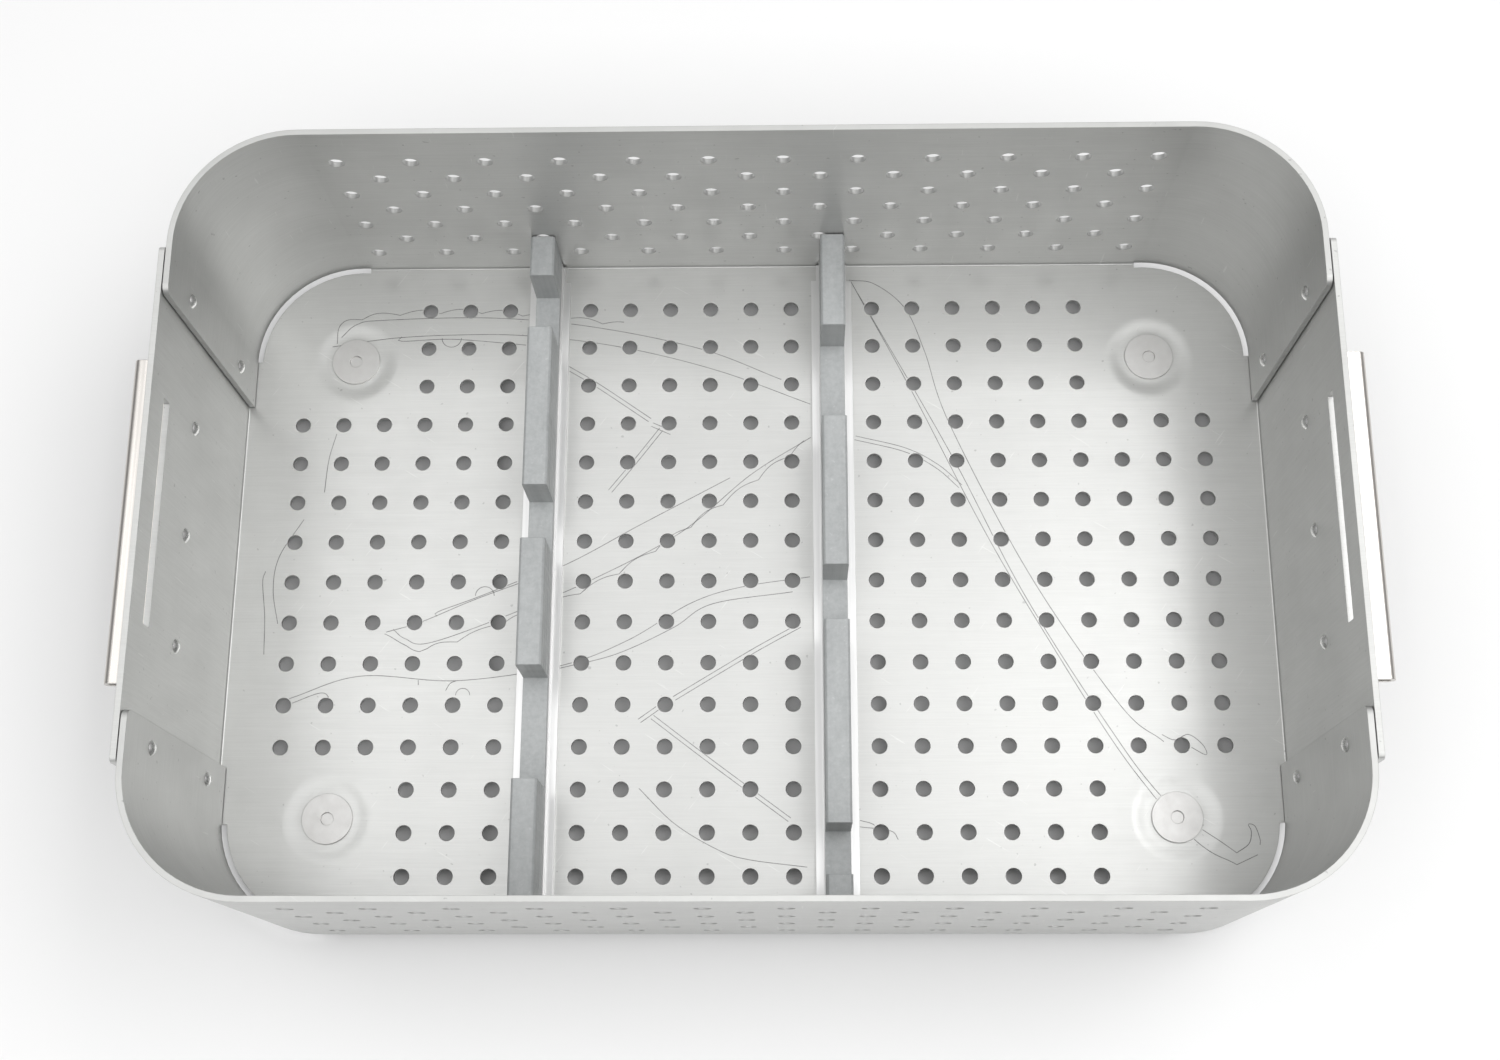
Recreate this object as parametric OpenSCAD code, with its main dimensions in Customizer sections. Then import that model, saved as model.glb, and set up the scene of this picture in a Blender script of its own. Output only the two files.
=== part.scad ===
// Perforated instrument tray for a sterilising case.
// A folded aluminium floor pan and two wrap-round long walls are riveted at the corners.
// Two notched silicone combs stand in rails on the floor, and the tray rests on four feet.
// Origin: centre of the footprint, on the surface that the feet stand on.
// +X runs along the tray, +Y to the rear wall, +Z up. Millimetres.

/* [Tray body] */
// Outside length of the body, end panel to end panel
body_l = 300; // [260:2:400]
// Outside width of the body, front wall to rear wall
body_w = 199; // [180:1:260]
// Height of the walls above the top face of the floor
wall_h = 84; // [80:1:120]
// Thickness of the aluminium sheet
sheet_t = 1.5; // [1.2:0.1:2]
// Outside radius of the corners that the long walls wrap round
corner_r = 31.5; // [28:0.5:40]
// Inside radius of the folds between floor and walls
fold_r = 0.5; // [0.3:0.1:1.4]
// Width of the curved slit between the floor and each wrapped corner, seen in plan
slit_w = 1.35; // [1:0.05:3]
// Straight length of a long wall beyond the wrapped corner, lapping inside the end panel
lap_l = 14.3; // [12:0.1:18]

/* [Perforation] */
// Spacing of the floor holes, both ways
floor_pitch = 12; // [10:0.5:14]
// Diameter of the floor holes
floor_hole_d = 4.4; // [3:0.1:5]
// Holes left out along each side of a corner block, so that the foot has solid sheet
corner_block = 3; // [2:1:4]
// Spacing of the wall holes along a row
wall_pitch_x = 20; // [16:1:24]
// Spacing of the wall hole rows
wall_pitch_z = 9.4; // [8:0.1:9.9]
// Number of wall hole rows
wall_rows = 7; // [3:1:7]
// Diameter of the wall holes
wall_hole_d = 4.4; // [3:0.1:5]

/* [End slots] */
// Length of the lid tongue slot in each end panel
slot_l = 59.5; // [40:0.5:80]
// Height of the slot
slot_h = 4.7; // [4.5:0.1:6]
// Height of the slot's lower edge above the floor
slot_z = 69.2; // [68:0.1:71]
// How far the slot lies in front of the middle of the end panel
slot_ahead = 0.75; // [0:0.05:2]

/* [Handles] */
// Length of a handle strip
handle_l = 87; // [70:1:110]
// How far a handle stands out from its end panel
handle_out = 11.5; // [8:0.5:14]
// Height of the handle's ledge above the floor
handle_z = 62.5; // [60:0.5:64]
// Thickness of the handle strip
handle_t = 1.2; // [0.8:0.1:1.5]

/* [Holder rails and combs] */
// Floor hole column that the left rail stands on, counted from the middle
left_col = -5; // [-7:1:-3]
// Floor hole column that the right rail stands on, counted from the middle
right_col = 2; // [1:1:7]
// Width of a rail's flange
rail_w = 12; // [10:0.5:14]
// Width of the comb above the rail
comb_w = 7; // [6.6:0.1:8]
// Height of the comb's top above the floor
comb_h = 22.5; // [20:0.5:28]
// Height of the notch bottoms above the floor
notch_z = 6; // [5:0.5:8]

/* [Feet] */
// Height of the feet below the floor sheet
foot_h = 4.5; // [4:0.5:10]
// Diameter of a silicone foot
foot_d = 16; // [14:0.5:18]
// Distance of the feet from the middle, along the tray
foot_x = 117.5; // [114:0.5:118]
// Distance of the feet from the middle, across the tray
foot_y = 68; // [66:0.5:70]

/* [Hidden] */
$fn = 64;

shell_col = "gainsboro";
steel_col = "antiquewhite";
rivet_col = "silver";
rail_col = "whitesmoke";
silicone_col = "lightslategray";

// Heights
under_z = foot_h;                        // underside of the floor sheet
floor_z = under_z + sheet_t;             // top face of the floor sheet
rim_z = floor_z + wall_h;                // top edges of all walls
bend_z = floor_z + fold_r;               // where the folds end and the walls stand straight
wall_row_z = floor_z + 11.6;             // lowest row of wall holes

// Plan
lap_gap = 0.3;                           // air between a lapped wall end and the end panel
fold_relief = 2;                         // how far the long folds stop short of the wrapped corners
panel_relief = 1.2;                      // how far the end panels stop short of them
front_lead = 1.5;                        // how much later the front slits start, round the corner
panel_x = body_l / 2 - sheet_t;          // inside face of an end panel
lap_x = panel_x - lap_gap - sheet_t;     // inside face of a lapped wall end
corner_x = lap_x + sheet_t - corner_r;   // centres of the wrapped corners
corner_y = body_w / 2 - corner_r;
fold_x = corner_x - fold_relief;         // half length of the fold under a long wall
panel_y = corner_y - panel_relief;       // half width of an end panel and of its fold
wall_y = body_w / 2 - sheet_t;           // inside face of a long wall
floor_x = panel_x - fold_r;              // where the flat floor meets its own end folds
floor_y = wall_y - fold_r;               // where the flat floor meets the long walls

// Hole grids
edge_land = 14;                          // sheet kept free of holes along the edges
cols = floor((body_l / 2 - edge_land) / floor_pitch);
rows = floor((body_w / 2 - edge_land) / floor_pitch);

// Rivets through the sheets
rivet_r = 1.25;
head_r = 2;
head_h = 1.1;
handle_rivet_y = 30;
handle_rivet_z = floor_z + 47.5;
lap_rivet_y = corner_y - lap_l + 6.15;
lap_rivet_z = [floor_z + 17.2, floor_z + 64.3];

// Handle strip
handle_y = 0.5;                          // its middle, a little behind the middle rivet
handle_bend = 1;                         // inside radius of the bend under the ledge
curl_r = 2;                              // outside radius of the rolled edge
curl_return = 2;                         // flat length after the roll
handle_plate_h = 24;                     // height of the strip, from its lower edge to the ledge
handle_top = floor_z + handle_z;

// Rails: flange, and two thin lips that grip the comb's tongue
flange_t = 1.5;
lip_t = 0.7;
lip_h = 4;
tongue_w = 6;
rail_neck_w = 9;
rail_neck_y = floor_y - 5.1;
rail_bolt_rows = [-6, 0, 6];
rail_bolt_r = 2.1;
bolt_head_r = 3.5;
bolt_head_h = 1.2;

// Combs: fine grooves along the sides and bevelled top edges
comb_bevel = 0.6;
groove_w = 0.6;
groove_d = 0.3;
groove_z = [8.5, 12.5, 16.5];
end_clear = 0.3;                         // air between a comb's end and the wall
left_notches = [[-60.5, -29.5], [6.5, 22], [69.5, 85.5]];
right_notches = [[-86, -72.5], [-17, -1.5], [42, 69.5]];

// Pressed dishes over the feet, and what is riveted in them
dish_r = 13;
dish_flat_r = 7.6;
dish_d = 0.45;
dish_steps = 12;
washer_r = 7.05;
washer_t = 0.7;
foot_rivet_r = 1.8;
foot_rivet_drop = 0.6;                   // how far the rivet's end lies below the washer's face
foot_tail_r = 3.2;
foot_tail_t = 0.8;
foot_recess_r = 3.8;
foot_recess_h = 2;
foot_bevel = 1;
dish_top_z = floor_z - dish_d;
dish_under_z = under_z - dish_d;

// Depth of a pressed dish at radius r: a smooth S from the floor down to the flat middle
function dish_drop(r) =
    r <= dish_flat_r ? dish_d
    : dish_d * (1 + cos(180 * (r - dish_flat_r) / (dish_r - dish_flat_r))) / 2;

// Points of the dish's S, from the flat middle outwards, at height z above the drop
function dish_edge(z) = [
    for (i = [0 : dish_steps])
        let (r = dish_flat_r + (dish_r - dish_flat_r) * i / dish_steps)
            [r, z - dish_drop(r)]
];

function reversed(points) = [for (i = [len(points) - 1 : -1 : 0]) points[i]];

// True where the floor grid has a hole: all but the corner blocks
function has_floor_hole(i, j) = abs(i) <= cols - corner_block || abs(j) <= rows - corner_block;

// Quarter of a ring in the plane, centred on the origin, in the quadrant towards (sx, sy)
module quarter_ring(inner, outer, sx, sy) {
    intersection() {
        difference() {
            circle(r = outer);
            circle(r = inner);
        }
        translate([sx < 0 ? -outer : 0, sy < 0 ? -outer : 0]) square(outer);
    }
}

// Stands a flat outline drawn in X and Z upright and gives it a length along Y, centred
module along_y(length) {
    rotate([90, 0, 0]) linear_extrude(height = length, center = true) children();
}

// Stands a flat outline drawn in Y and Z upright and gives it a length along +X
module along_x(length) {
    rotate([90, 0, 90]) linear_extrude(height = length) children();
}

// Copies its child to both ends, mirrored
module both_ends() {
    children();
    mirror([1, 0, 0]) children();
}

// Copies its child to all four corners, mirrored
module mirrored_xy() {
    both_ends() {
        children();
        mirror([0, 1, 0]) children();
    }
}

// Low dome of a rivet head, base on the XY plane
module dome(radius, height) {
    ball_r = (radius * radius + height * height) / (2 * height);
    intersection() {
        translate([0, 0, height - ball_r]) sphere(r = ball_r);
        cylinder(r = radius + 1, h = height + 1);
    }
}

// Rivet along +X: shank over the grip, a dome head at each end
module rivet(grip) {
    rotate([0, 90, 0]) {
        cylinder(r = rivet_r, h = grip);
        translate([0, 0, grip]) dome(head_r, head_h);
        mirror([0, 0, 1]) dome(head_r, head_h);
    }
}

module rivet_hole(x, y, z, depth) {
    translate([x, y, z]) rotate([0, 90, 0]) cylinder(r = rivet_r, h = depth, center = true);
}

// Plan of the flat floor: straight where the folds are, cut round at the corners between them
module floor_outline() {
    translate([-floor_x, -corner_y - front_lead]) square([2 * floor_x, 2 * corner_y + front_lead]);
    square([2 * fold_x, 2 * floor_y], center = true);
    mirrored_xy() intersection() {
        translate([corner_x, corner_y]) circle(r = corner_r - sheet_t - slit_w, $fn = 128);
        translate([fold_x, panel_y]) square(corner_r);
    }
}

module floor_holes() {
    for (i = [-cols : cols], j = [-rows : rows])
        if (has_floor_hole(i, j))
            translate([i * floor_pitch, j * floor_pitch]) circle(d = floor_hole_d, $fn = 32);
}

module at_feet() {
    for (sx = [-1, 1], sy = [-1, 1]) translate([sx * foot_x, sy * foot_y]) children();
}

// Pressed dish in the sheet, with a hole for the foot's rivet
module dish() {
    rotate_extrude($fn = 96)
        polygon(concat(
            [[foot_rivet_r, dish_under_z], [foot_rivet_r, dish_top_z]],
            dish_edge(floor_z),
            reversed(dish_edge(under_z))
        ));
}

// Outline of an end panel in Y and Z, with rounded top corners and the slot
module end_outline() {
    top_r = 1.5;
    slot_r = 0.4;
    difference() {
        union() {
            translate([-panel_y, bend_z]) square([2 * panel_y, rim_z - top_r - bend_z]);
            translate([top_r - panel_y, bend_z]) square([2 * (panel_y - top_r), rim_z - bend_z]);
            for (s = [-1, 1]) translate([s * (panel_y - top_r), rim_z - top_r]) circle(r = top_r);
        }
        translate([-slot_ahead, floor_z + slot_z + slot_h / 2]) {
            square([slot_l, slot_h - 2 * slot_r], center = true);
            square([slot_l - 2 * slot_r, slot_h], center = true);
            for (sy = [-1, 1], sz = [-1, 1])
                translate([sy * (slot_l / 2 - slot_r), sz * (slot_h / 2 - slot_r)]) circle(r = slot_r);
        }
    }
}

// One end panel and the fold that joins it to the floor
module end_panel() {
    difference() {
        translate([panel_x, 0, 0]) along_x(sheet_t) end_outline();
        for (y = [-1, 0, 1]) rivet_hole(panel_x, y * handle_rivet_y, handle_rivet_z, 3 * sheet_t);
        for (s = [-1, 1], z = lap_rivet_z) rivet_hole(panel_x, s * lap_rivet_y, z, 3 * sheet_t);
    }
    along_y(2 * panel_y)
        translate([floor_x, bend_z]) quarter_ring(fold_r, fold_r + sheet_t, 1, -1);
}

module floor_pan() {
    color(shell_col) {
        translate([0, 0, under_z]) linear_extrude(height = sheet_t) difference() {
            floor_outline();
            floor_holes();
            at_feet() circle(r = dish_r, $fn = 96);
        }
        at_feet() dish();
        both_ends() end_panel();
    }
}

// Staggered rows of wall holes, in X and Z: every other row is shifted by half a spacing
module wall_holes() {
    for (row = [0 : wall_rows - 1]) {
        shift = row % 2 == 0 ? 0.5 : 0;
        last = floor(corner_x / wall_pitch_x + shift);
        for (i = [-last : last - 2 * shift])
            translate([(i + shift) * wall_pitch_x, wall_row_z + row * wall_pitch_z])
                circle(d = wall_hole_d, $fn = 32);
    }
}

// End of a long wall that laps the end panel, in Y and Z, with one rounded top corner
module lap_outline() {
    top_r = 2.5;
    free_y = corner_y - lap_l;
    difference() {
        translate([free_y, bend_z]) square([lap_l, rim_z - bend_z]);
        translate([free_y, rim_z - top_r]) difference() {
            square(top_r);
            translate([top_r, 0]) circle(r = top_r);
        }
    }
}

// Long wall for the rear: straight sheet, fold to the floor, wrapped corners, lapped ends
module long_wall() {
    translate([0, wall_y + sheet_t, 0]) rotate([90, 0, 0]) linear_extrude(height = sheet_t)
        difference() {
            translate([-corner_x, bend_z]) square([2 * corner_x, rim_z - bend_z]);
            wall_holes();
        }
    translate([-fold_x, floor_y, bend_z]) along_x(2 * fold_x)
        quarter_ring(fold_r, fold_r + sheet_t, 1, -1);
    both_ends() {
        translate([corner_x, corner_y, bend_z]) linear_extrude(height = rim_z - bend_z)
            quarter_ring(corner_r - sheet_t, corner_r, 1, 1, $fn = 128);
        difference() {
            translate([lap_x, 0, 0]) along_x(sheet_t) lap_outline();
            for (z = lap_rivet_z) rivet_hole(lap_x, lap_rivet_y, z, 3 * sheet_t);
        }
    }
}

module rear_wall() {
    color(shell_col) long_wall();
}

module front_wall() {
    color(shell_col) rotate([0, 0, 180]) long_wall();
}

// Section of the handle strip in X and Z, X measured from the end panel's outer face
module handle_outline() {
    bend_out = handle_bend + handle_t;
    curl_x = handle_out - curl_r;
    translate([0, handle_top - handle_plate_h]) square([handle_t, handle_plate_h - bend_out]);
    translate([bend_out, handle_top - bend_out]) quarter_ring(handle_bend, bend_out, -1, 1);
    translate([bend_out, handle_top - handle_t]) square([curl_x - bend_out, handle_t]);
    translate([curl_x, handle_top - curl_r]) {
        quarter_ring(curl_r - handle_t, curl_r, 1, 1);
        quarter_ring(curl_r - handle_t, curl_r, 1, -1);
        translate([-curl_return, -curl_r]) square([curl_return, handle_t]);
    }
}

module handle() {
    color(steel_col) difference() {
        translate([body_l / 2, handle_y, 0]) along_y(handle_l) handle_outline();
        for (y = [-1, 0, 1]) rivet_hole(body_l / 2, y * handle_rivet_y, handle_rivet_z, 4 * handle_t);
    }
}

module right_handle() {
    handle();
}

module left_handle() {
    mirror([1, 0, 0]) handle();
}

module handle_rivets() {
    color(rivet_col) for (y = [-1, 0, 1])
        translate([panel_x, y * handle_rivet_y, handle_rivet_z]) rivet(sheet_t + handle_t);
}

module right_handle_rivets() {
    handle_rivets();
}

module left_handle_rivets() {
    mirror([1, 0, 0]) handle_rivets();
}

// The two rivets of one lapped wall end, in the corner towards (sx, sy)
module lap_rivets(sx, sy) {
    color(rivet_col) mirror([sx < 0 ? 1 : 0, 0, 0]) for (z = lap_rivet_z)
        translate([lap_x, sy * lap_rivet_y, z]) rivet(2 * sheet_t + lap_gap);
}

// Section of a rail in X and Z: flange and two lips
module rail_outline() {
    translate([-rail_neck_w / 2, floor_z]) square([rail_neck_w, flange_t]);
    for (s = [-1, 1])
        translate([s * (tongue_w + lip_t) / 2, floor_z + lip_h / 2]) square([lip_t, lip_h], center = true);
}

module rail(col) {
    x = col * floor_pitch;
    color(rail_col) translate([x, 0, 0]) difference() {
        union() {
            along_y(2 * floor_y) rail_outline();
            translate([-rail_w / 2, -rail_neck_y, floor_z]) cube([rail_w, 2 * rail_neck_y, flange_t]);
        }
        for (j = rail_bolt_rows)
            translate([0, j * floor_pitch, floor_z])
                cylinder(r = rail_bolt_r, h = 3 * flange_t, center = true);
    }
}

module left_rail() {
    rail(left_col);
}

module right_rail() {
    rail(right_col);
}

// Flat-headed rivets that come up through the floor holes into a rail
module rail_rivets(col) {
    color(rivet_col) for (j = rail_bolt_rows)
        translate([col * floor_pitch, j * floor_pitch, under_z - bolt_head_h]) {
            cylinder(r = bolt_head_r, h = bolt_head_h);
            cylinder(r = rail_bolt_r, h = bolt_head_h + sheet_t + flange_t);
        }
}

module left_rail_rivets() {
    rail_rivets(left_col);
}

module right_rail_rivets() {
    rail_rivets(right_col);
}

// Section of a comb in X and Z, from the flange up: tongue, grooved sides, bevelled top
module comb_outline() {
    side = comb_w / 2;
    top = floor_z + comb_h;
    tongue_z = floor_z + flange_t;
    shoulder_z = floor_z + lip_h + 0.2;
    difference() {
        polygon([
            [-tongue_w / 2, tongue_z], [tongue_w / 2, tongue_z],
            [tongue_w / 2, shoulder_z], [side, shoulder_z],
            [side, top - comb_bevel], [side - comb_bevel, top],
            [comb_bevel - side, top], [-side, top - comb_bevel],
            [-side, shoulder_z], [-tongue_w / 2, shoulder_z],
        ]);
        for (s = [-1, 1], z = groove_z)
            translate([s * side, floor_z + z]) square([2 * groove_d, groove_w], center = true);
    }
}

module comb(col, notches) {
    color(silicone_col) translate([col * floor_pitch, 0, 0]) difference() {
        along_y(2 * (wall_y - end_clear)) comb_outline();
        for (n = notches)
            translate([-comb_w, n[0], floor_z + notch_z]) cube([2 * comb_w, n[1] - n[0], comb_h]);
    }
}

module left_comb() {
    comb(left_col, left_notches);
}

module right_comb() {
    comb(right_col, right_notches);
}

// Places a foot's piece in the corner towards (sx, sy)
module at_foot(sx, sy) {
    translate([sx * foot_x, sy * foot_y, 0]) children();
}

module foot() {
    color(silicone_col) rotate_extrude($fn = 96) polygon([
        [foot_recess_r, 0], [foot_d / 2 - foot_bevel, 0], [foot_d / 2, foot_bevel],
        [foot_d / 2, dish_under_z], [foot_rivet_r, dish_under_z],
        [foot_rivet_r, foot_recess_h], [foot_recess_r, foot_recess_h],
    ]);
}

module washer() {
    color(shell_col) translate([0, 0, dish_top_z]) difference() {
        cylinder(r = washer_r, h = washer_t, $fn = 96);
        cylinder(r = foot_rivet_r, h = 3 * washer_t, center = true);
    }
}

module foot_rivet() {
    tail_z = foot_recess_h - foot_tail_t;
    end_z = dish_top_z + washer_t - foot_rivet_drop;
    color(rivet_col) {
        translate([0, 0, tail_z]) cylinder(r = foot_tail_r, h = foot_tail_t);
        translate([0, 0, tail_z]) cylinder(r = foot_rivet_r, h = end_z - tail_z);
    }
}

floor_pan();
rear_wall();
front_wall();
left_handle();
right_handle();
left_handle_rivets();
right_handle_rivets();
lap_rivets(-1, 1);  // rear_left_rivets
lap_rivets(1, 1);  // rear_right_rivets
lap_rivets(-1, -1);  // front_left_rivets
lap_rivets(1, -1);  // front_right_rivets
left_rail();
right_rail();
left_rail_rivets();
right_rail_rivets();
left_comb();
right_comb();
at_foot(-1, 1) foot();  // rear_left_foot
at_foot(1, 1) foot();  // rear_right_foot
at_foot(-1, -1) foot();  // front_left_foot
at_foot(1, -1) foot();  // front_right_foot
at_foot(-1, 1) washer();  // rear_left_washer
at_foot(1, 1) washer();  // rear_right_washer
at_foot(-1, -1) washer();  // front_left_washer
at_foot(1, -1) washer();  // front_right_washer
at_foot(-1, 1) foot_rivet();  // rear_left_foot_rivet
at_foot(1, 1) foot_rivet();  // rear_right_foot_rivet
at_foot(-1, -1) foot_rivet();  // front_left_foot_rivet
at_foot(1, -1) foot_rivet();  // front_right_foot_rivet
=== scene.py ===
"""Looks of the perforated instrument tray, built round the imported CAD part.

Metres, in the part's own frame: origin under the centre of the footprint, +X along the tray, +Y to the rear
wall, +Z up. The CAD nodes keep their shape and place and get their materials here.
"""

import math

import bmesh
import bpy
from mathutils import Matrix, Vector


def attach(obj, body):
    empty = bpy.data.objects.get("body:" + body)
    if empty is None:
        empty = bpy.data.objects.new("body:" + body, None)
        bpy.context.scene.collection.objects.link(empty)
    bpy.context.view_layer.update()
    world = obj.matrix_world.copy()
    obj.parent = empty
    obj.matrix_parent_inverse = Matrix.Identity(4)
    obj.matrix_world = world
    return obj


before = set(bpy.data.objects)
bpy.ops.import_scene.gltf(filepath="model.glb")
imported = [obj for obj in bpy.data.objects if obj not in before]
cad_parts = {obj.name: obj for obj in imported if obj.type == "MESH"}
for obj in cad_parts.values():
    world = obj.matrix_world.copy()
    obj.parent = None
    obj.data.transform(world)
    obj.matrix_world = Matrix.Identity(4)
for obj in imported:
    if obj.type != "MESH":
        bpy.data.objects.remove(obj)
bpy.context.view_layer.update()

MM = 0.001

# ---------------------------------------------------------------- camera
CAMERA_AT = Vector((11.2, -146.1, 540.5)) * MM
CAMERA_AIM = Vector((-0.2, 15.1, 6.0)) * MM
CAMERA_ROLL = math.radians(-4.16)
CAMERA_LENS, CAMERA_SENSOR = 46.43, 36      # mm


def make_camera():
    data = bpy.data.cameras.new("camera")
    data.lens = CAMERA_LENS
    data.sensor_width = CAMERA_SENSOR
    data.clip_start = 0.01
    camera = bpy.data.objects.new("camera", data)
    aim = (CAMERA_AIM - CAMERA_AT).to_track_quat("-Z", "Y").to_matrix()
    turn = aim @ Matrix.Rotation(CAMERA_ROLL, 3, "Z")
    camera.matrix_world = Matrix.Translation(CAMERA_AT) @ turn.to_4x4()
    bpy.context.scene.collection.objects.link(camera)
    bpy.context.scene.camera = camera


# ---------------------------------------------------------------- shader helpers
class Shader:
    """A material with one Principled shader and short ways to feed it."""

    def __init__(self, name, **values):
        self.material = bpy.data.materials.new(name)
        self.material.use_nodes = True
        self.tree = self.material.node_tree
        self.bsdf = self.tree.nodes["Principled BSDF"]
        for socket, value in values.items():
            self.bsdf.inputs[socket.replace("_", " ")].default_value = value
        self.where = self.add("ShaderNodeTexCoord").outputs["Object"]

    def add(self, kind, **settings):
        node = self.tree.nodes.new(kind)
        for key, value in settings.items():
            setattr(node, key, value)
        return node

    def feed(self, socket, value):
        if isinstance(value, bpy.types.NodeSocket):
            self.tree.links.new(value, socket)
        else:
            socket.default_value = value

    def scaled(self, scale):
        """Object coordinates, stretched: features are 1/scale metres long on each axis."""
        node = self.add("ShaderNodeMapping")
        node.inputs["Scale"].default_value = scale
        self.feed(node.inputs["Vector"], self.where)
        return node.outputs[0]

    def noise(self, scale, detail=3.0, roughness=0.5):
        node = self.add("ShaderNodeTexNoise")
        self.feed(node.inputs["Vector"], self.scaled(scale))
        node.inputs["Scale"].default_value = 1.0
        node.inputs["Detail"].default_value = detail
        node.inputs["Roughness"].default_value = roughness
        return node.outputs["Fac"]

    def streaks(self, scale, turn, rarity):
        """1 on scattered marks, 0 between them; the marks are turned about Z and 1/scale metres long."""
        turned = self.add("ShaderNodeMapping")
        turned.inputs["Rotation"].default_value = (0, 0, math.radians(turn))
        self.feed(turned.inputs["Vector"], self.where)
        stretched = self.add("ShaderNodeMapping")
        stretched.inputs["Scale"].default_value = scale
        self.feed(stretched.inputs["Vector"], turned.outputs[0])
        node = self.add("ShaderNodeTexNoise")
        node.inputs["Scale"].default_value = 1.0
        node.inputs["Detail"].default_value = 1.0
        self.feed(node.inputs["Vector"], stretched.outputs[0])
        return self.remap(node.outputs["Fac"], rarity, rarity + 0.04, 0, 1)

    def axis(self, vector, name):
        """One component of a vector output."""
        split = self.add("ShaderNodeSeparateXYZ")
        self.feed(split.inputs[0], vector)
        return split.outputs[name]

    def facing(self):
        """1 where the surface looks up, -1 where it looks down."""
        return self.axis(self.add("ShaderNodeNewGeometry").outputs["True Normal"], "Z")

    def height(self):
        return self.axis(self.where, "Z")

    def remap(self, value, low, high, to_low, to_high):
        node = self.add("ShaderNodeMapRange")
        for socket, v in zip(node.inputs, (value, low, high, to_low, to_high)):
            self.feed(socket, v)
        return node.outputs[0]

    def math(self, operation, a, b):
        node = self.add("ShaderNodeMath", operation=operation)
        self.feed(node.inputs[0], a)
        self.feed(node.inputs[1], b)
        return node.outputs[0]

    def tint(self, factor, dark, light):
        """A colour between dark and light."""
        node = self.add("ShaderNodeMix", data_type="RGBA")
        self.feed(node.inputs["Factor"], factor)
        node.inputs["A"].default_value = (*dark, 1)
        node.inputs["B"].default_value = (*light, 1)
        return node.outputs["Result"]

    def bump(self, height, distance, strength=1.0, soft_edge=None):
        """Relief of the given depth in metres, over edges rounded by soft_edge."""
        node = self.add("ShaderNodeBump")
        node.inputs["Strength"].default_value = strength
        node.inputs["Distance"].default_value = distance
        self.feed(node.inputs["Height"], height)
        if soft_edge:
            edge = self.add("ShaderNodeBevel", samples=4)
            edge.inputs["Radius"].default_value = soft_edge
            self.feed(node.inputs["Normal"], edge.outputs[0])
        self.feed(self.bsdf.inputs["Normal"], node.outputs[0])


# ---------------------------------------------------------------- materials
SHEET_HUE = 1.0, 1.005, 0.985
SHEET_TONES = 0.10, 0.80                    # at level 0 and at level 1
# heights between which the lying floor turns into the standing wall
FOLD_BOTTOM, FOLD_TOP = 6.5 * MM, 8.5 * MM
# heights between which a face that looks up turns into the cut rim
RIM_BOTTOM, RIM_TOP = 88.5 * MM, 89.5 * MM
WALL_ROUGHNESS, RIM_ROUGHNESS = 0.42, 0.65
# how much each feature changes the sheet's level
BRUSH_LEVEL = 0.05
SPECK_LEVEL = 0.2
MARK_LEVEL = 0.1
# painted shade: how much darker every face that looks down is made
UNDERSIDE_SHADE_LEVEL = 0.6
# brightening of the up-facing cut edge: partly its bare metal, partly a painted highlight
RIM_BARE_AND_HIGHLIGHT_LEVEL = 0.12


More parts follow.
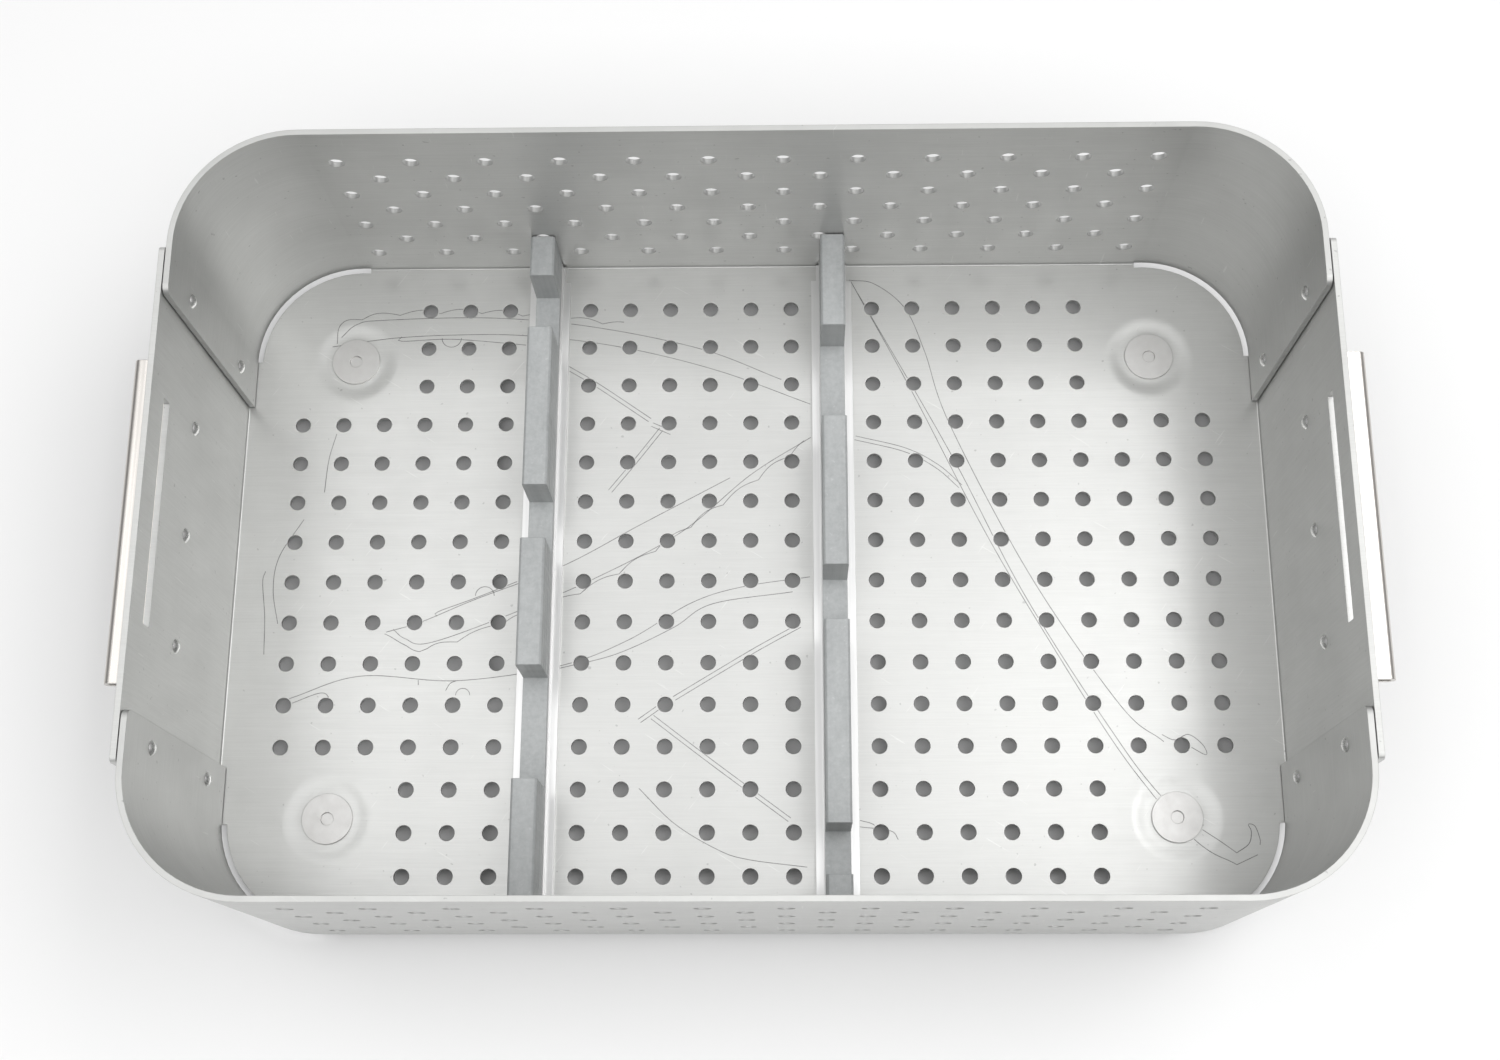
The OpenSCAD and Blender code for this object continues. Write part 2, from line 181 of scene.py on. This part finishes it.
def brushed_sheet(name, grain, roughness, floor_level, wall_level):
    """Satin aluminium sheet: brush lines along the long axis of grain, faint clouds, specks and scratches.
    The levels are the brightness of the lying and the standing parts; faces that look down are darkened by
    painted shade, and the up-facing cut edge on top is brighter, partly as bare metal and partly as a
    painted highlight."""
    s = Shader(name, Metallic=0.7)
    dark, light = [tuple(tone * c for c in SHEET_HUE) for tone in SHEET_TONES]

    # the surface's own pattern
    lines = s.noise(grain, detail=4, roughness=0.65)
    fine = s.noise([g * 2.7 for g in grain], detail=2, roughness=0.6)
    cloud = s.noise((38, 38, 38), detail=4, roughness=0.6)
    tone = s.math("ADD", s.math("MULTIPLY", lines, 0.55), s.math("MULTIPLY", cloud, 0.45))
    specks = s.streaks((650, 650, 650), turn=0, rarity=0.75)
    long_marks = s.streaks((70, 1300, 70), turn=32, rarity=0.76)
    short_marks = s.streaks((90, 1500, 90), turn=-54, rarity=0.77)
    marks = s.math("MAXIMUM", long_marks, short_marks)

    # where the sheet stands up, faces down (darkened by painted shade) or is cut and faces up (bare metal
    # with a painted highlight)
    standing = s.remap(s.height(), FOLD_BOTTOM, FOLD_TOP, 0, 1)
    # painted shade mask: 1 on faces that look down
    painted_underside_shade = s.remap(s.facing(), -0.9, -0.6, 1, 0)
    facing_up = s.remap(s.facing(), 0.7, 0.9, 0, 1)
    # up-facing cut edge on top of the sheet: bare metal, rougher, with a painted highlight in its colour
    bare_rim_and_highlight = s.math("MULTIPLY", facing_up, s.remap(s.height(), RIM_BOTTOM, RIM_TOP, 0, 1))

    level = s.remap(standing, 0, 1, floor_level, wall_level)
    level = s.math("ADD", level, s.remap(tone, 0.3, 0.7, -BRUSH_LEVEL, BRUSH_LEVEL))
    level = s.math("SUBTRACT", level, s.math("MULTIPLY", specks, SPECK_LEVEL))
    level = s.math("ADD", level, s.math("MULTIPLY", marks, MARK_LEVEL))
    # painted shade on the faces that look down
    level = s.math("SUBTRACT", level, s.math("MULTIPLY", painted_underside_shade, UNDERSIDE_SHADE_LEVEL))
    # painted highlight on the up-facing cut edge, together with its bare-metal tone
    level = s.math("ADD", level, s.math("MULTIPLY", bare_rim_and_highlight, RIM_BARE_AND_HIGHLIGHT_LEVEL))
    s.feed(s.bsdf.inputs["Base Color"], s.tint(level, dark, light))

    rough = s.remap(standing, 0, 1, roughness, WALL_ROUGHNESS)
    rough = s.math("ADD", rough, s.math("MULTIPLY", bare_rim_and_highlight, RIM_ROUGHNESS - WALL_ROUGHNESS))
    s.feed(s.bsdf.inputs["Roughness"], s.math("ADD", rough, s.remap(tone, 0.3, 0.7, 0.04, -0.04)))
    relief = s.math("SUBTRACT", s.math("ADD", lines, fine), s.math("ADD", marks, specks))
    s.bump(relief, distance=0.02 * MM, strength=0.5, soft_edge=0.25 * MM)
    return s.material


def etched_line():
    """The matt grey of a line etched into the sheet, uneven along its length."""
    s = Shader("etched_line", Metallic=1.0, Roughness=0.55)
    patches = s.noise((420, 420, 420), detail=4, roughness=0.7)
    tone = s.remap(patches, 0.35, 0.65, 0, 1)
    s.feed(s.bsdf.inputs["Base Color"], s.tint(tone, (0.20, 0.20, 0.20), (0.34, 0.34, 0.335)))
    s.bump(patches, distance=0.01 * MM, strength=0.5)
    return s.material


def rail_metal():
    """Drawn aluminium, with fine lines along the rail."""
    s = Shader("rail_aluminium", Metallic=1.0)
    lines = s.noise((1800, 25, 1800), detail=3)
    s.feed(s.bsdf.inputs["Base Color"], s.tint(lines, (0.68, 0.68, 0.68), (0.78, 0.78, 0.775)))
    s.feed(s.bsdf.inputs["Roughness"], s.remap(lines, 0.3, 0.7, 0.38, 0.28))
    s.bump(lines, distance=0.02 * MM, strength=0.6, soft_edge=0.2 * MM)
    return s.material


def washer_metal():
    """Dull tumbled aluminium."""
    s = Shader("washer_aluminium", Metallic=1.0)
    cloud = s.noise((300, 300, 300), detail=5, roughness=0.7)
    s.feed(s.bsdf.inputs["Base Color"], s.tint(cloud, (0.56, 0.55, 0.54), (0.64, 0.64, 0.63)))
    s.feed(s.bsdf.inputs["Roughness"], s.remap(cloud, 0.3, 0.7, 0.46, 0.38))
    s.bump(cloud, distance=0.02 * MM, strength=0.4, soft_edge=0.2 * MM)
    return s.material


def handle_metal():
    """Warm grey steel, brushed along the strip."""
    s = Shader("handle_steel", Metallic=1.0)
    lines = s.noise((2200, 14, 2200), detail=4, roughness=0.6)
    cloud = s.noise((120, 60, 120), detail=3)
    tone = s.math("MULTIPLY", s.math("ADD", lines, cloud), 0.5)
    s.feed(s.bsdf.inputs["Base Color"], s.tint(tone, (0.54, 0.515, 0.485), (0.70, 0.68, 0.65)))
    s.feed(s.bsdf.inputs["Roughness"], s.remap(lines, 0.3, 0.7, 0.36, 0.24))
    s.bump(lines, distance=0.03 * MM, strength=0.7, soft_edge=0.2 * MM)
    return s.material


def rivet_metal():
    """Bright rivet heads with small dents."""
    s = Shader("rivet_steel", Metallic=1.0)
    spots = s.noise((1500, 1500, 1500), detail=3)
    s.feed(s.bsdf.inputs["Base Color"], s.tint(spots, (0.86, 0.86, 0.85), (0.98, 0.98, 0.97)))
    s.feed(s.bsdf.inputs["Roughness"], s.remap(spots, 0.3, 0.7, 0.34, 0.2))
    s.bump(spots, distance=0.03 * MM, strength=0.4)
    return s.material


def silicone_rubber():
    """Grey silicone with mould lines down its sides and dust on top."""
    s = Shader("silicone")
    s.bsdf.inputs["Subsurface Weight"].default_value = 0.15
    s.bsdf.inputs["Subsurface Radius"].default_value = (2 * MM, 2 * MM, 2 * MM)
    cloud = s.noise((140, 30, 140), detail=4, roughness=0.6)
    grit = s.noise((2600, 2600, 2600), detail=2)
    upright = s.noise((700, 700, 18), detail=3, roughness=0.7)
    dust = s.streaks((900, 900, 900), turn=0, rarity=0.72)
    tone = s.math("ADD", s.math("MULTIPLY", cloud, 0.5), s.math("MULTIPLY", upright, 0.5))
    tone = s.math("ADD", s.remap(tone, 0.35, 0.65, 0.1, 0.8), s.math("MULTIPLY", dust, 0.35))
    s.feed(s.bsdf.inputs["Base Color"], s.tint(tone, (0.33, 0.342, 0.345), (0.48, 0.495, 0.495)))
    s.feed(s.bsdf.inputs["Roughness"], s.remap(grit, 0.3, 0.7, 0.42, 0.56))
    s.bump(s.math("ADD", grit, upright), distance=0.03 * MM, strength=0.4, soft_edge=0.4 * MM)
    return s.material


def paint_nodes():
    """Gives each CAD node its material."""
    pan = brushed_sheet("pan_sheet", (55, 2300, 55), 0.32, floor_level=0.69, wall_level=0.68)
    wall = brushed_sheet("wall_sheet", (55, 55, 2300), WALL_ROUGHNESS, floor_level=0.63, wall_level=0.63)
    rail, washer, handle = rail_metal(), washer_metal(), handle_metal()
    rivet, silicone = rivet_metal(), silicone_rubber()
    endings = [
        ("_foot_rivet", washer), ("_rivets", rivet), ("_handle", handle), ("_rail", rail),
        ("_washer", washer), ("_comb", silicone), ("_foot", silicone), ("_wall", wall), ("floor_pan", pan),
    ]
    for name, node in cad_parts.items():
        material = next(m for ending, m in endings if name.endswith(ending))
        node.data.materials.clear()
        node.data.materials.append(material)


# ---------------------------------------------------------------- outlines etched into the floor
# Points in mm on the floor, measured along the etched lines and thinned. A smooth curve joins each list.
EDGES = {
    "forceps_upper_edge": [
        (-125, 73), (-112, 75), (-92, 76.3), (-67, 76), (-39, 72.2), (-10, 64.5), (18, 53.5)],
    "forceps_upper_back": [
        (-122.5, 76), (-118, 80), (-110, 81.3), (-78, 81.8), (-48, 78.8), (-15, 71.4), (9, 61.5)],
    "forceps_upper_seat": [(-104.3, 75.9), (-104.2, 74.5), (-88.7, 75), (-67, 73)],
    "forceps_lower_edge": [
        (-104, -14.8), (-94, -11.8), (-79, -5.3), (-54, 4.6), (-32, 16.8), (-6, 31)],
    "forceps_lower_back": [
        (-102, -14), (-98.5, -16.7), (-91.5, -18), (-70, -10.2),
        (-45, 0.7), (-20, 14.6), (0, 31.9), (18, 43.6)],
    "forceps_lower_seat": [(-89.6, -10.2), (-89.5, -8.9), (-79, -4.9), (-67, 0)],
    "pliers_edge": [
        (-130.4, -34), (-110.6, -27.6), (-83, -29), (-54, -24.8),
        (-35, -17.5), (-17, -6.6), (-2.5, -1.9), (17, 1)],
    "pliers_back": [(-54, -25.5), (-38, -21.4), (-22, -13.8), (-11, -6.9), (12, -3.4)],
    "pliers_jaw": [(-130, -35.5), (-121.5, -32.4), (-118.6, -34.4)],
    "pliers_joint": [(-94.1, -28.8), (-94, -30.2)],
    "pliers_box": [(-86.2, -31.9), (-85, -29.8), (-83.2, -29)],
    "pliers_handle": [(-31, -59.7), (-21, -69.5), (-9, -76.7), (-0.6, -79.4), (15.6, -81.5)],
    "pliers_end": [(30.2, -70.5), (38.6, -71.6), (40.7, -74)],
    "pliers_end_top": [(30.2, -68.7), (33.7, -69.7), (34.8, -71)],
    "left_hook": [(-138.6, -21.2), (-139.2, -10), (-140.5, 0), (-139.9, 3.4)],
    "left_hook_back": [(-135.3, -12.2), (-137.3, -2), (-136.2, 7.8), (-129.8, 19)],
    "left_tip": [(-124.4, 27.2), (-123.7, 37.3), (-121.9, 45.3)],
    "jaw_back": [
        (29.4, 93.2), (37, 91.9), (45.9, 84), (51.5, 70),
        (58.3, 47), (79.8, 1.3), (103.4, -36.5), (115, -47)],
    "jaw_edge": [
        (29.7, 93.3), (46.6, 59.2), (66.3, 16.6), (82, -13.5),
        (104, -51.7), (122, -74.2), (132.8, -81)],
    "jaw_second_edge": [
        (32, 88.8), (58, 38.6), (77.7, -3.9), (99.5, -41.9), (114.3, -63), (133, -77.8)],
    "jaw_hook": [
        (114.6, -45), (118, -46.5), (122, -45), (125.8, -48), (126.4, -50.7), (121.6, -48)],
    "end_hook": [
        (133, -77.8), (136.5, -75.3), (137.4, -72), (136.7, -70),
        (138.5, -70.5), (139.6, -74), (139.5, -75.6)],
    "end_hook_back": [(132.8, -81), (138.7, -78.3)],
}
SPRINGS = {
    "forceps_upper_spring": [(-54.3, 65.6), (-45.2, 59.9), (-29.7, 49)],
    "forceps_lower_spring": [(-26.3, 46.1), (-33.9, 36), (-40.9, 27.1)],
    "forceps_link": [(-29, 47.6), (-23.3, 45)],
    "pliers_upper_spring": [(-21.5, -34.3), (-9.6, -27), (2, -20), (14, -13.3)],
    "pliers_lower_spring": [(-27.6, -39.6), (-10.6, -52.6), (10.8, -68.5)],
    "pliers_link": [(-31.2, -40.7), (-26.2, -37.1)],
    "forceps_body": [(30.5, 43.1), (45, 39.3), (54.2, 34.2), (60.8, 28)],
}
GRIPS = {
    "forceps_upper_grip": [
        (-124.3, 74.2), (-122, 80), (-116, 82.3), (-100, 83.8), (-78, 83.8), (-55, 81.5), (-38, 79.5)],
    "forceps_lower_grip": [
        (-104, -14.8), (-99, -19), (-92, -19.5), (-74, -13.5), (-41, 1), (-8, 23.5), (16, 41.8)],
}
# Screw heads that show past an edge: centre and radius, below the edge if negative
SCREWS = {
    "forceps_upper_screw": (-89.3, 75.4, -2.9),
    "forceps_lower_screw": (-76.2, -4.2, 2.7),
    "pliers_screw": (-81.3, -33.2, 2),
}
LINE_WIDTH = 0.22
LINE_STEP = 0.5
LINE_RISE = 0.02
SPRING_WIDTH = 1.2
SCALLOP_PITCH, SCALLOP_DEPTH = 12.0, 1.3
ARC_STEPS = 16
# heights in mm: where the test rays start, and just under the top of the floor
RAY_START, FLOOR_LEAST = 60, 5


def smooth(points):
    """Points every LINE_STEP along a Catmull-Rom curve through the given ones."""
    points = [Vector(p) for p in points]
    ends = [2 * points[0] - points[1]] + points + [2 * points[-1] - points[-2]]
    curve = []
    for a, b, c, d in zip(ends, ends[1:], ends[2:], ends[3:]):
        steps = max(1, round((c - b).length / LINE_STEP))
        for t in (i / steps for i in range(steps)):
            curve.append(0.5 * (2 * b + (c - a) * t + (2 * a - 5 * b + 4 * c - d) * t ** 2
                                + (3 * b - a - 3 * c + d) * t ** 3))
    return curve + [points[-1]]


def sides(curve):
    """The unit normal at each point of a plane curve."""
    directions = [b - a for a, b in zip(curve, curve[1:])]
    directions.append(directions[-1])
    return [Vector((-d.y, d.x)).normalized() for d in directions]


def beside(curve, offset):
    """A curve alongside the given one."""
    return [p + n * offset for p, n in zip(curve, sides(curve))]


def scalloped(curve):
    """The curve with finger grooves pressed into it."""
    grooves = [abs(math.sin(math.pi * i * LINE_STEP / SCALLOP_PITCH)) for i in range(len(curve))]
    return [p + n * SCALLOP_DEPTH * (g - 0.5) for p, n, g in zip(curve, sides(curve), grooves)]


def half_circle(x, y, radius):
    """Points of the upper half of a circle, or of its lower half where the radius is negative."""
    angles = [math.pi * i / ARC_STEPS for i in range(ARC_STEPS + 1)]
    return [Vector((x + radius * math.cos(a), y + radius * math.sin(a))) for a in angles]


def on_floor(curve):
    """The stretches of the curve that lie on open floor, as points in metres."""
    graph = bpy.context.evaluated_depsgraph_get()
    stretch = []
    for point in curve:
        above = Vector((point.x, point.y, RAY_START)) * MM
        hit, place, _, _, node, _ = bpy.context.scene.ray_cast(graph, above, Vector((0, 0, -1)))
        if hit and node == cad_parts["floor_pan"] and place.z > FLOOR_LEAST * MM:
            stretch.append(place)
        else:
            if len(stretch) > 2:
                yield stretch
            stretch = []
    if len(stretch) > 2:
        yield stretch


def add_line(mesh, stretch):
    """A thin flat strip of LINE_WIDTH along the stretch."""
    rise = Vector((0, 0, LINE_RISE * MM))
    rings = []
    for place, normal in zip(stretch, sides([p.xy for p in stretch])):
        across = Vector((normal.x, normal.y, 0)) * LINE_WIDTH / 2 * MM
        left, right = place + across, place - across
        corners = (left + rise, right + rise, right - rise, left - rise)
        rings.append([mesh.verts.new(c) for c in corners])
    for near, far in zip(rings, rings[1:]):
        for i in range(4):
            mesh.faces.new((near[i], near[i - 1], far[i - 1], far[i]))
    mesh.faces.new(rings[0])
    mesh.faces.new(reversed(rings[-1]))


def make_outlines():
    """The outlines of the instruments that the tray holds, etched beside their places."""
    bpy.context.view_layer.update()
    curves = [smooth(points) for points in EDGES.values()]
    curves += [scalloped(smooth(points)) for points in GRIPS.values()]
    for points in SPRINGS.values():
        middle = smooth(points)
        curves += [beside(middle, SPRING_WIDTH / 2), beside(middle, -SPRING_WIDTH / 2)]
    curves += [half_circle(*screw) for screw in SCREWS.values()]
    mesh = bmesh.new()
    for curve in curves:
        for stretch in on_floor(curve):
            add_line(mesh, stretch)
    bmesh.ops.recalc_face_normals(mesh, faces=mesh.faces)
    data = bpy.data.meshes.new("etched_outlines")
    mesh.to_mesh(data)
    data.materials.append(etched_line())
    piece = bpy.data.objects.new("etched_outlines", data)
    bpy.context.scene.collection.objects.link(piece)
    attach(piece, "root")


# ---------------------------------------------------------------- studio
ROOM_GLOW = 0.3
CEILING_HEIGHT = 1.5
PANEL_SIZE = 1.0
PAPER_SIZE = 8
# panels of light under the ceiling: place in X and Y in metres, and power in watts
CEILING_LIGHTS = [
    (-0.9, -0.7, 5.5), (0, -0.7, 5.5), (0.9, -0.7, 7.0),
    (-0.9, 0.3, 5.0), (0, 0.3, 3.2), (0.9, 0.3, 12.0),
]


def make_floor():
    """Pale matt paper."""
    bpy.ops.mesh.primitive_plane_add(size=PAPER_SIZE)
    floor = bpy.context.object
    floor.name = "studio_floor"
    s = Shader("studio_paper", Base_Color=(0.88, 0.88, 0.88, 1), Roughness=0.9)
    s.bsdf.inputs["Specular IOR Level"].default_value = 0.0
    floor.data.materials.append(s.material)


def ceiling_panel(name, x, y, power):
    """A square of soft light that faces down."""
    data = bpy.data.lights.new(name, "AREA")
    data.shape = "SQUARE"
    data.size = PANEL_SIZE
    data.energy = power
    light = bpy.data.objects.new(name, data)
    light.location = x, y, CEILING_HEIGHT
    bpy.context.scene.collection.objects.link(light)


def make_light():
    """A soft ceiling of six panels, brightest on the right and dark behind the rear wall, in a dim room."""
    world = bpy.data.worlds.new("studio")
    world.use_nodes = True
    background = world.node_tree.nodes["Background"]
    background.inputs["Color"].default_value = (1, 1, 1, 1)
    background.inputs["Strength"].default_value = ROOM_GLOW
    bpy.context.scene.world = world
    for i, (x, y, power) in enumerate(CEILING_LIGHTS):
        ceiling_panel(f"ceiling_{i}", x, y, power)


def main():
    scene = bpy.context.scene
    scene.view_settings.view_transform = "Standard"
    paint_nodes()
    make_outlines()
    make_camera()
    make_floor()
    make_light()


main()
